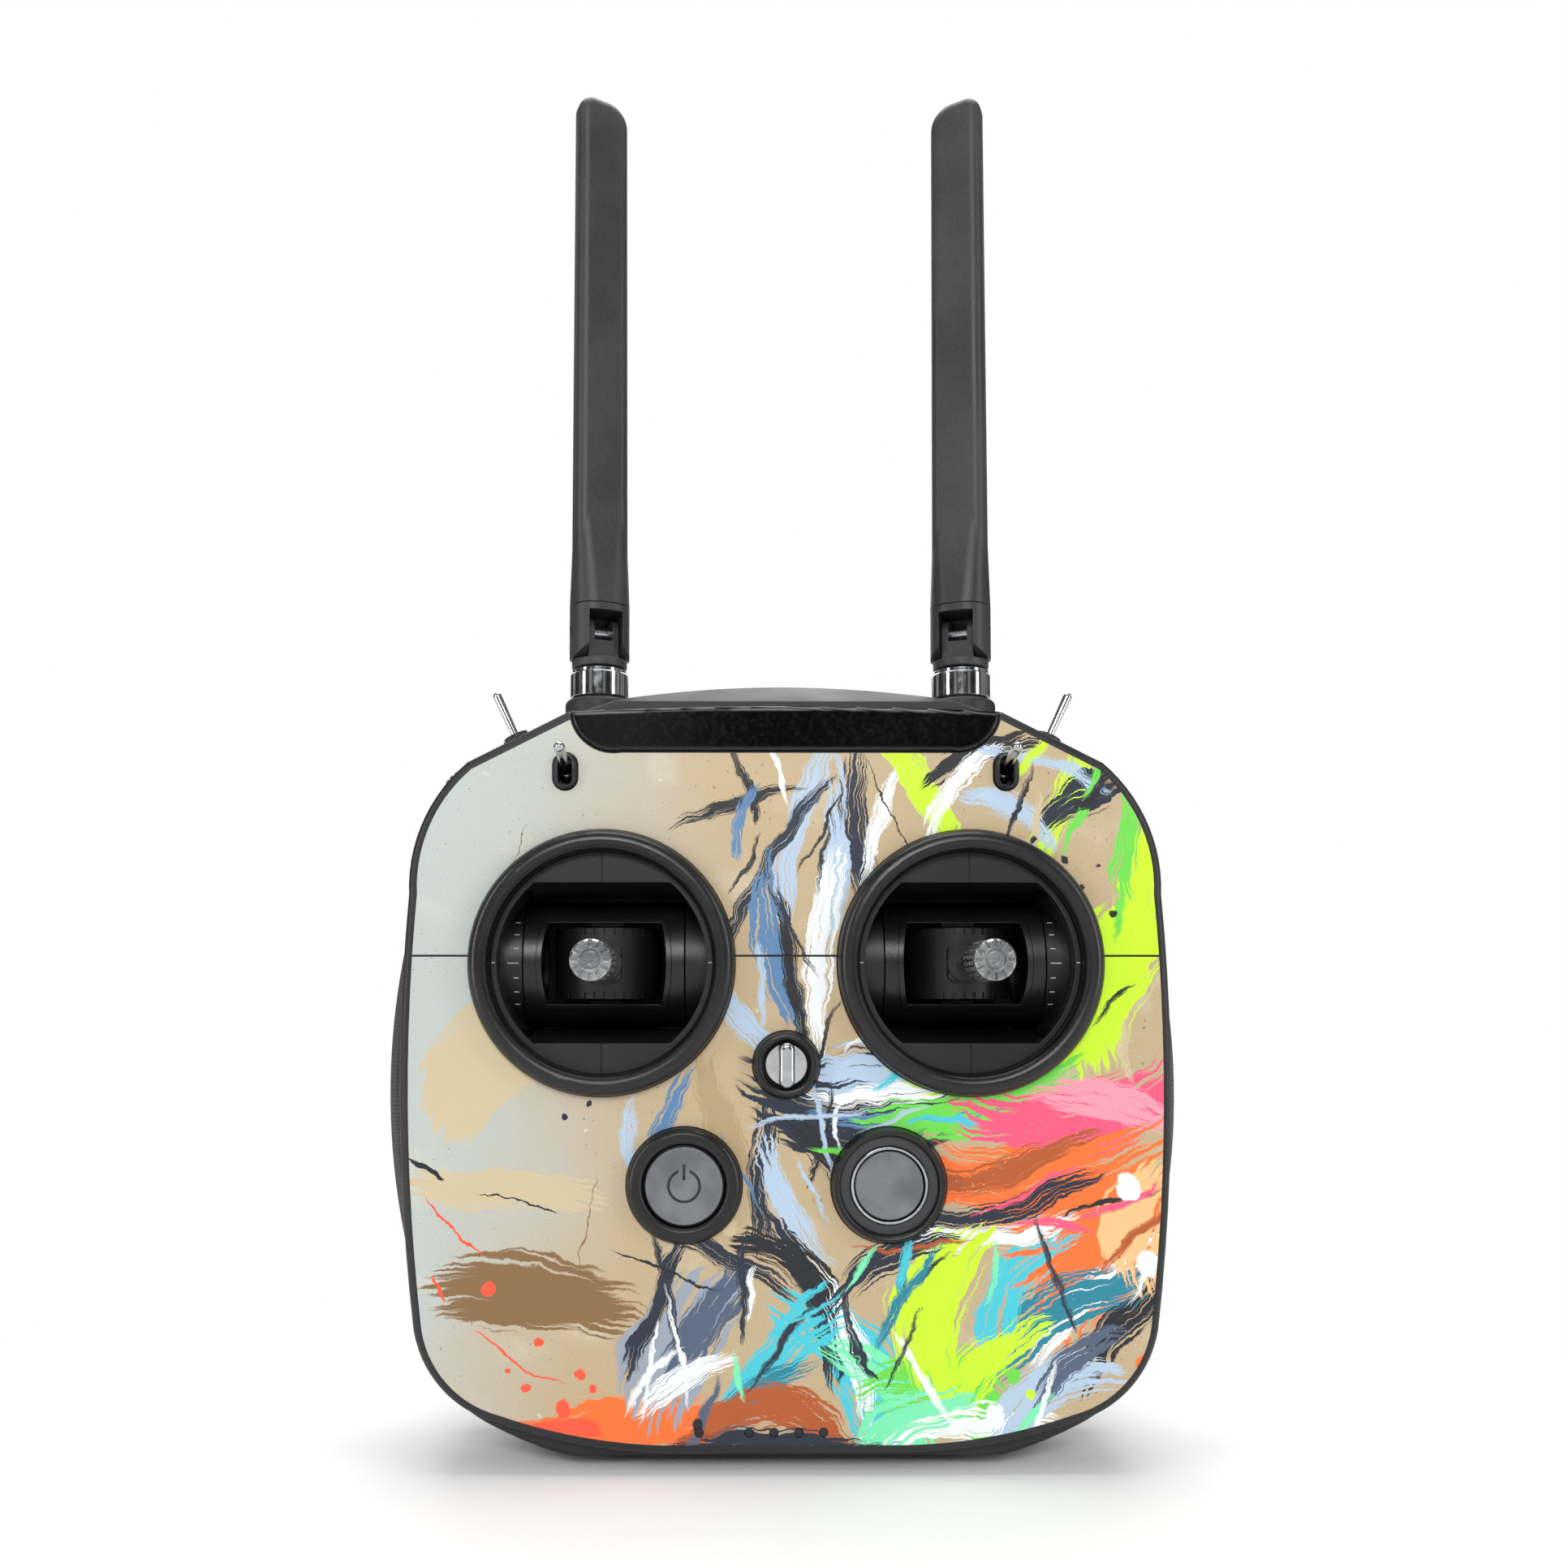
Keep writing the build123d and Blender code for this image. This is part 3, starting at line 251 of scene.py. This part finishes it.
# dots and drops: middle, radius, colour
DROPS = [
    (-69, 43, 1.9, RED), (-60, 21, 1.5, RED), (-52, 16, 1.9, RED), (-48, 23, 1.3, RED),
    (-64, 25, 0.9, RED), (-57, 31, 1.1, RED), (-46, 19, 1.0, RED), (62, 138, 0.8, INK),
    (66, 142, 1.1, INK), (58, 146, 0.9, INK), (70, 136, 0.7, INK), (76, 128, 1.0, INK),
    (74, 141, 0.6, INK), (-46, 86, 0.7, INK), (-52, 83, 0.8, INK), (52, 22, 2.0, GREEN),
    (56, 18, 1.2, LIME), (48, 14, 2.6, WHITE), (79, 66, 3.6, WHITE), (84, 48, 3.2, WHITE),
    (-14, 58, 2.0, SAND), (-28, 61, 2.4, SAND), (-20, 12, 1.6, INK), (82, 26, 2.2, ORANGE),
]


# fine strokes scattered by area: x range, z range, angle range, colours, how many
FINE = [
    ((-12, 22), (58, 166), (58, 122), (WHITE, ICE, NAVY, INK, BLUE), 18),
    ((28, 86), (44, 76), (-12, 42), (ORANGE, WHITE, INK, RUST, PINK), 12),
    ((4, 52), (74, 102), (-8, 26), (WHITE, ICE, CYAN, GREEN), 10),
    ((-14, 62), (8, 50), (30, 125), (CYAN, WHITE, TEAL, MINT, NAVY), 16),
    ((50, 86), (90, 166), (40, 92), (LIME, GREEN, SAND, INK), 10),
    ((-34, -8), (10, 46), (40, 120), (SLATE, WHITE, NAVY), 7),
]


def fine_strokes():
    """The scattered fine strokes, the same each run."""
    draw = random.Random(11)
    strokes = []
    for xs, zs, angles, paints, count in FINE:
        for _ in range(count):
            size = (draw.uniform(6, 15), draw.uniform(0.45, 1.3))
            spot = (draw.uniform(*xs), draw.uniform(*zs))
            paint = draw.choice(paints)
            strokes.append((*spot, *size, draw.uniform(*angles), paint, 0.8, draw.uniform(-0.6, 0.6)))
    return strokes


def brush_group():
    """A node group that lays one bent, streaky brush stroke over the colour below it."""
    group = bpy.data.node_groups.new("brush_stroke", "ShaderNodeTree")
    sockets = (("Vector", "NodeSocketVector"), ("Middle", "NodeSocketVector"))
    sockets += (("Angle", "NodeSocketFloat"), ("Size", "NodeSocketVector"))
    sockets += (("Streaks", "NodeSocketFloat"), ("Bend", "NodeSocketFloat"))
    sockets += (("Seed", "NodeSocketFloat"), ("Below", "NodeSocketColor"), ("Paint", "NodeSocketColor"))
    for name, kind in sockets:
        group.interface.new_socket(name, in_out="INPUT", socket_type=kind)
    group.interface.new_socket("Painted", in_out="OUTPUT", socket_type="NodeSocketColor")
    tree = Tree(group)
    start = group.nodes.new("NodeGroupInput")
    end = group.nodes.new("NodeGroupOutput")
    after = tree.add("VectorMath", {0: start.outputs["Below"], 1: (1e-5,) * 3}, operation="MULTIPLY_ADD")
    group.links.new(start.outputs["Vector"], after.inputs[2])
    offset = tree.add("VectorMath", {0: after.outputs[0], 1: start.outputs["Middle"]}, operation="SUBTRACT")
    turned = tree.add("VectorRotate", {"Vector": offset.outputs[0], "Angle": start.outputs["Angle"]})
    turned.rotation_type = "Z_AXIS"
    sized = tree.add("VectorMath", {0: turned.outputs[0], 1: start.outputs["Size"]}, operation="DIVIDE")
    parts = tree.add("SeparateXYZ", {0: sized.outputs[0]})
    along = parts.outputs[0]
    squared = tree.math("MULTIPLY", along, along)
    bend = tree.math("MULTIPLY", tree.math("MULTIPLY", squared, start.outputs["Bend"]), 3.0)
    across = tree.math("ADD", parts.outputs[1], bend)
    fine = tree.math("MULTIPLY", across, 9.0)
    spot = tree.add("CombineXYZ", {0: along, 1: fine, 2: start.outputs["Seed"]})
    streak = tree.noise(spot.outputs[0], 0.9, 1.0, 0.62)
    taper = tree.math("POWER", tree.math("ABSOLUTE", along), 2.6)
    reach = tree.math("ADD", taper, tree.math("MULTIPLY", across, across))
    dryness = tree.math("MULTIPLY", start.outputs["Streaks"], 5.5)
    broken = tree.math("MULTIPLY", tree.math("SUBTRACT", streak, 0.48), dryness)
    solid = tree.math("ADD", tree.math("SUBTRACT", 1.0, reach), broken)
    cover = tree.ranged(solid, 0.12, 0.42)
    inside = tree.ranged(reach, 1.0, 1.25, 1.0, 0.0)
    painted = tree.mix(tree.math("MULTIPLY", cover, inside), start.outputs["Below"], start.outputs["Paint"])
    group.links.new(painted, end.inputs[0])
    return group


def skin_material():
    """Card ground with stains, then every stroke, then spray, under a satin laminate."""
    made, tree, shader, coords = new_material("skin_paint_print")
    flat = tree.add("SeparateXYZ", {0: coords})
    scaled = [tree.math("MULTIPLY", flat.outputs[i], 1000.0) for i in (0, 2)]
    page = tree.add("CombineXYZ", {0: scaled[0], 1: scaled[1], 2: 0.0}).outputs[0]
    wave = tree.add("TexNoise", {"Vector": page, "Scale": 0.055, "Detail": 5.0, "Roughness": 0.6})
    push = tree.add("VectorMath", {0: wave.outputs["Color"], 1: (0.5, 0.5, 0.5)}, operation="SUBTRACT")
    push = tree.add("VectorMath", {0: push.outputs[0], "Scale": 9.0}, operation="SCALE")
    wavy = tree.add("VectorMath", {0: page, 1: push.outputs[0]}, operation="ADD").outputs[0]

    # card ground: cool grey at the left, warm card in the middle, with stains and grain
    cloud = tree.noise(page, 0.022, 4.0)
    lean = tree.math("SUBTRACT", scaled[0], tree.math("MULTIPLY", scaled[1], 0.22))
    lean = tree.math("ADD", lean, tree.math("MULTIPLY", cloud, 60.0))
    warm = tree.ranged(lean, -76.0, -14.0)
    colour = tree.mix(warm, srgb(186, 194, 190), srgb(190, 168, 132))
    pale = tree.ranged(tree.noise(page, 0.05, 5.0), 0.56, 0.72, 0.0, 0.4)
    colour = tree.mix(pale, colour, srgb(214, 208, 190))
    fibre = tree.noise(page, 3.6, 3.0, 0.7)
    fleck = tree.ranged(fibre, 0.3, 0.7, 0.84, 1.14)
    flecks = tree.add("CombineColor", {0: fleck, 1: fleck, 2: fleck}).outputs[0]
    colour = tree.mix(0.8, colour, flecks, "MULTIPLY")
    for scale, limit, shade, strength in (
        (0.42, 0.11, srgb(104, 84, 58), 0.75), (0.16, 0.1, srgb(222, 222, 208), 0.5),
        (0.75, 0.1, srgb(60, 50, 40), 0.7),
    ):
        cells = tree.add("TexVoronoi", {"Vector": wavy, "Scale": scale})
        dot = tree.ranged(cells.outputs["Distance"], limit * 0.7, limit, strength, 0.0)
        patch = tree.ranged(tree.noise(page, 0.03 + scale * 0.03, 2.0), 0.5, 0.58)
        colour = tree.mix(tree.math("MULTIPLY", dot, patch), colour, shade)

    # brush strokes, lines and drops, painted in order
    group = brush_group()
    marks = STROKES + fine_strokes()
    for x0, z0, x1, z1, wide, paint in LINES:
        turn = math.degrees(math.atan2(z1 - z0, x1 - x0))
        half = math.hypot(x1 - x0, z1 - z0) / 2
        marks.append(((x0 + x1) / 2, (z0 + z1) / 2, half, wide, turn, paint, 0.15, 0.0))
    marks += [(x, z, radius, radius, 0, paint, 0.1, 0.0) for x, z, radius, paint in DROPS]
    for number, (x, z, long, wide, turn, paint, streaks, bend) in enumerate(marks):
        brush = tree.tree.nodes.new("ShaderNodeGroup")
        brush.node_tree = group
        tree.tree.links.new(wavy, brush.inputs["Vector"])
        tree.tree.links.new(colour, brush.inputs["Below"])
        settings = {"Middle": (x, z, 0), "Angle": -math.radians(turn), "Size": (long, wide, 1)}
        settings.update({"Streaks": streaks, "Bend": bend, "Seed": number * 3.7, "Paint": paint})
        for socket, value in settings.items():
            brush.inputs[socket].default_value = value
        colour = brush.outputs[0]

    # fine light spray over the painted side
    right = tree.ranged(scaled[0], -6.0, 30.0)
    mist = tree.add("TexVoronoi", {"Vector": page, "Scale": 0.95})
    speck = tree.ranged(mist.outputs["Distance"], 0.06, 0.13, 0.85, 0.0)
    where = tree.ranged(tree.noise(page, 0.07, 2.0), 0.54, 0.62)
    speck = tree.math("MULTIPLY", tree.math("MULTIPLY", speck, where), right)
    colour = tree.mix(speck, colour, srgb(240, 244, 240))
    link(tree, colour, shader, "Base Color")
    link(tree, tree.ranged(fibre, 0.2, 0.8, 0.36, 0.5), shader, "Roughness")
    ripple = tree.math("ADD", tree.noise(coords, 2600.0), tree.math("MULTIPLY", cloud, 0.5))
    link(tree, bumped(tree, ripple, 0.1, 0.00006, 0), shader, "Normal")
    shader.inputs["Coat Weight"].default_value = 0.12
    shader.inputs["Coat Roughness"].default_value = 0.35
    return made


# ---- materials by node ----
shell = plastic("shell_spark_black", srgb(19, 19, 20), srgb(36, 36, 38), (0.4, 0.54))
gloss = plastic("panel_gloss_black", srgb(6, 6, 7), srgb(9, 9, 10), (0.05, 0.09), 900.0, 0.02, 0.0008)
rim = plastic("rim_satin_black", srgb(8, 8, 9), srgb(16, 16, 17), (0.28, 0.38), 4200.0, 0.16)
well = plastic("gimbal_black", srgb(9, 9, 10), srgb(18, 18, 19), (0.36, 0.48), 4600.0, 0.2, 0.0002)
drum = plastic("drum_black", srgb(12, 12, 13), srgb(22, 22, 23), (0.28, 0.4), 4600.0, 0.18, 0.0003)
mast = plastic("antenna_spark_grey", srgb(34, 34, 35), srgb(58, 58, 60), (0.4, 0.52), 3600.0, 0.5, 0.0004)
dark_ring = plastic("ring_satin_dark", srgb(44, 45, 47), srgb(62, 63, 65), (0.34, 0.46), 3800.0, 0.15)
white = plastic("scale_white_print", srgb(150, 150, 150), srgb(190, 190, 190), (0.5, 0.6), 3000.0, 0.1, 0)
light = plastic("light_pipe_dark", srgb(14, 12, 16), srgb(26, 24, 30), (0.1, 0.2), 2000.0, 0.05, 0.0002)
board = plastic("board_green", srgb(12, 62, 34), srgb(22, 88, 48), (0.3, 0.4), 1600.0, 0.2, 0)
wrap = plastic("battery_wrap_blue", srgb(22, 44, 90), srgb(34, 60, 112), (0.3, 0.45), 700.0, 0.2, 0.0005)
ink = plastic("ink_dark", srgb(20, 20, 21), srgb(30, 30, 32), (0.5, 0.6), 3000.0, 0.1, 0)
chrome = metal("chrome_polished", srgb(168, 170, 172), srgb(196, 197, 199), (0.07, 0.14), EVEN, 500.0, 0.03)
steel = metal("steel_turned", srgb(150, 152, 156), srgb(186, 188, 192), (0.2, 0.34), TURNED, 700.0, 0.1)
knurl = metal("head_bead_blasted", srgb(128, 130, 132), srgb(186, 187, 188), (0.22, 0.36), EVEN, 2600.0, 0.3)
brass = metal("brass_turned", srgb(180, 138, 62), srgb(214, 172, 88), (0.2, 0.34), TURNED, 700.0, 0.1)
satin = metal("button_satin_grey", srgb(116, 118, 121), srgb(138, 140, 143), (0.34, 0.46), EVEN, 3000.0, 0.2)
weave = rubber()
skin = skin_material()

LOOKS = {
    "front_shell": shell, "rear_shell": shell, "battery_door": shell, "top_panel": gloss,
    "skin_upper": skin, "skin_lower": skin, "battery_pack": wrap, "main_board": board,
    "case_screws": steel, "bracket_inserts": brass, "charge_socket": steel,
    "status_lights": light, "mode_knob_bezel": rim, "power_bezel": rim, "home_bezel": rim,
    "home_light_ring": dark_ring, "home_trim_ring": chrome, "front_toggle_switches": rim,
    "shoulder_toggle_bushings": shell, "antenna_sockets": shell, "antenna_nuts": chrome,
    "gimbal_scales": white, "power_button": satin, "home_button": satin, "mode_knob": chrome,
    "control_wheel": chrome,
}
SIDE_LOOKS = {
    "grip_pad": weave, "gimbal_bezel": rim, "gimbal_cover": well, "gimbal_frame": well,
    "gimbal_cradle": drum, "gimbal_core": well, "stick_shaft": steel, "stick_head": knurl,
    "stick_locknut": knurl, "front_toggle": chrome, "shoulder_toggle": chrome,
    "shoulder_button": dark_ring, "rear_button": dark_ring, "antenna_knuckle": mast,
    "antenna_pin": steel, "antenna_sleeve": mast, "antenna_blade": mast,
}
for name in SIDES:
    LOOKS.update({f"{name}_{part}": look for part, look in SIDE_LOOKS.items()})
for node, look in LOOKS.items():
    thing = NODES[node]
    if not thing.material_slots:
        thing.data.materials.append(look)
    for slot in thing.material_slots:
        slot.material = look


# ---- small pieces that the CAD leaves to the looks ----
def piece(name, build, look, body):
    """A mesh made by build(bmesh), riding on a body."""
    mesh = bpy.data.meshes.new(name)
    made = bmesh.new()
    build(made)
    bmesh.ops.recalc_face_normals(made, faces=made.faces)
    made.to_mesh(mesh)
    made.free()
    mesh.materials.append(look)
    thing = bpy.data.objects.new(name, mesh)
    bpy.context.scene.collection.objects.link(thing)
    for polygon in mesh.polygons:
        polygon.use_smooth = True
    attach(thing, body)
    return thing


def ribbon(made, path, half, front, back):
    """A flat raised line in X-Z along a path of points, with bevelled sides and flat capped ends."""
    rows = []
    for i, point in enumerate(path):
        before, after = path[max(i - 1, 0)], path[min(i + 1, len(path) - 1)]
        way = Vector((after[0] - before[0], 0, after[1] - before[1])).normalized()
        out = Vector((-way.z, 0, way.x)) * half
        middle = Vector((point[0], 0, point[1]))
        corners = []
        for lift, depth in ((1, back), (0.86, front), (-0.86, front), (-1, back)):
            spot = middle + out * lift
            corners.append(made.verts.new((spot.x, depth, spot.z)))
        rows.append(corners)
    for first, second in zip(rows, rows[1:]):
        for k in range(4):
            made.faces.new((first[k], first[(k + 1) % 4], second[(k + 1) % 4], second[k]))
    made.faces.new(rows[0])
    made.faces.new(rows[-1][::-1])


def box_middle(node):
    """The middle of a CAD node's box."""
    low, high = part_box(node)
    return (Vector(low) + Vector(high)) / 2


POWER_RING_RADIUS, POWER_LINE_HALF = 0.0036, 0.00026


def power_symbol(made):
    """Open ring with a bar: the plain power sign, as ink in the engraved cap."""
    middle = box_middle("power_button")
    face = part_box("power_button")[0][1]
    gap = math.radians(36)
    steps = 56
    arc = []
    for i in range(steps + 1):
        angle = math.pi / 2 + gap / 2 + (2 * math.pi - gap) * i / steps
        across, up = math.cos(angle), math.sin(angle)
        arc.append((middle.x + POWER_RING_RADIUS * across, middle.z + POWER_RING_RADIUS * up))
    ribbon(made, arc, POWER_LINE_HALF, face + 0.00001, face + 0.0001)
    bar = [(middle.x, middle.z + 0.0014 + 0.0034 * t / 6) for t in range(7)]
    ribbon(made, bar, POWER_LINE_HALF, face + 0.00001, face + 0.0001)


piece("power_symbol_ink", power_symbol, ink, "power_button")


def tube(made, points, radius, sides=12):
    """A round tube through points."""
    rows = []
    for i, point in enumerate(points):
        before, after = points[max(i - 1, 0)], points[min(i + 1, len(points) - 1)]
        way = (after - before).normalized()
        first = way.orthogonal().normalized()
        second = way.cross(first)
        row = []
        for k in range(sides):
            angle = 2 * math.pi * k / sides
            out = first * math.cos(angle) + second * math.sin(angle)
            row.append(made.verts.new(point + out * radius))
        rows.append(row)
    for low, high in zip(rows, rows[1:]):
        for k in range(sides):
            made.faces.new((low[k], low[(k + 1) % sides], high[(k + 1) % sides], high[k]))
    made.faces.new(rows[0][::-1])
    made.faces.new(rows[-1])


for name in SIDES:
    hinge = box_middle(f"{name}_antenna_pin")

    def feed(made, hinge=hinge):
        """Antenna feed lead between the fork's ears, under the hinge pin."""
        tube(made, [hinge + Vector((0, 0, -0.0024 + 0.0001 * i)) for i in range(-3, 6)], 0.0009)

    piece(f"{name}_antenna_feed", feed, ink, f"{name}_antenna_base")

# ---- stage ----
def floor_material():
    """White sweep: lit and shaded near the object, plain bright white further out."""
    made, tree, shader, coords = new_material("floor_white")
    shader.inputs["Base Color"].default_value = srgb(250, 250, 250)
    shader.inputs["Roughness"].default_value = 0.8
    shader.inputs["Specular IOR Level"].default_value = 0.0
    glow = tree.add("Emission", {"Color": (1, 1, 1, 1), "Strength": 1.0})
    flat = tree.add("VectorMath", {0: coords, 1: (0.82, 1.25, 0.0)}, operation="MULTIPLY")
    away = tree.add("VectorMath", {0: flat.outputs[0]}, operation="LENGTH").outputs["Value"]
    far = tree.ranged(away, 0.1, 0.24)
    both = tree.add("MixShader", {0: far, 1: shader.outputs[0], 2: glow.outputs[0]})
    output = next(node for node in made.node_tree.nodes if node.type == "OUTPUT_MATERIAL")
    made.node_tree.links.new(both.outputs[0], output.inputs[0])
    return made


mesh = bpy.data.meshes.new("floor")
made = bmesh.new()
bmesh.ops.create_grid(made, x_segments=4, y_segments=4, size=7.0)
made.to_mesh(mesh)
made.free()
floor = bpy.data.objects.new("floor", mesh)
bpy.context.scene.collection.objects.link(floor)
mesh.materials.append(floor_material())

# the world: plain white to the camera, a banded grey studio to everything else
world = bpy.data.worlds.new("studio")
bpy.context.scene.world = world
world.use_nodes = True
sky = Tree(world.node_tree)
world.node_tree.nodes.clear()
seen = sky.add("Background", {"Color": (1, 1, 1, 1), "Strength": 1.0})
way = sky.add("TexCoord").outputs["Generated"]
axes = sky.add("SeparateXYZ", {0: way})
turn = sky.math("ARCTAN2", axes.outputs[0], sky.math("MULTIPLY", axes.outputs[1], -1.0))
bands = sky.noise(sky.add("CombineXYZ", {0: turn, 1: 4.0}).outputs[0], 2.6, 1.0)
strip = sky.ranged(bands, 0.46, 0.56, 0.12, 1.15)
high = sky.ranged(axes.outputs[2], 0.25, 0.8, 0.0, 1.0)
walls = sky.add("CombineColor", {0: strip, 1: strip, 2: strip}).outputs[0]
room = sky.mix(high, walls, (0.75, 0.77, 0.8, 1))
lit = sky.add("Background", {"Color": room, "Strength": 0.34})
ray = sky.add("LightPath")
direct = ray.outputs["Is Camera Ray"]
both_ways = sky.add("MixShader", {0: direct, 1: lit.outputs[0], 2: seen.outputs[0]})
out = sky.add("OutputWorld")
world.node_tree.links.new(both_ways.outputs[0], out.inputs[0])


def area_light(name, place, aim, size, power):
    """A white rectangular light at a place, turned to an aim point."""
    data = bpy.data.lights.new(name, "AREA")
    data.shape = "RECTANGLE"
    data.size, data.size_y = size
    data.energy = power
    lamp = bpy.data.objects.new(name, data)
    lamp.location = place
    lamp.rotation_euler = (Vector(aim) - Vector(place)).to_track_quat("-Z", "Y").to_euler()
    bpy.context.scene.collection.objects.link(lamp)


area_light("top_soft", (0.0, 0.1, 1.2), (0, 0, 0.1), (0.9, 0.7), 9)
area_light("left_strip", (-0.8, -0.45, 0.3), (0, 0, 0.12), (0.12, 0.9), 3)
area_light("right_strip", (0.8, -0.45, 0.3), (0, 0, 0.12), (0.12, 0.9), 3)
area_light("front_fill", (-0.1, -1.6, 0.9), (0, 0, 0.12), (0.9, 0.5), 14)
area_light("back_soft", (0.0, 1.1, 0.8), (0, 0, 0.15), (1.2, 0.7), 6)

# ---- camera ----
data = bpy.data.cameras.new("camera")
data.sensor_width = 36.0
data.lens = 32.4
data.shift_x, data.shift_y = 0.0375, 0.0938
data.clip_start, data.clip_end = 0.01, 50.0
camera = bpy.data.objects.new("camera", data)
camera.location = (-0.0161, -0.3489, 0.111)
camera.rotation_euler = Euler((math.radians(92.5), 0, math.radians(-0.33)))
bpy.context.scene.collection.objects.link(camera)
bpy.context.scene.camera = camera
bpy.context.scene.view_settings.view_transform = "Standard"
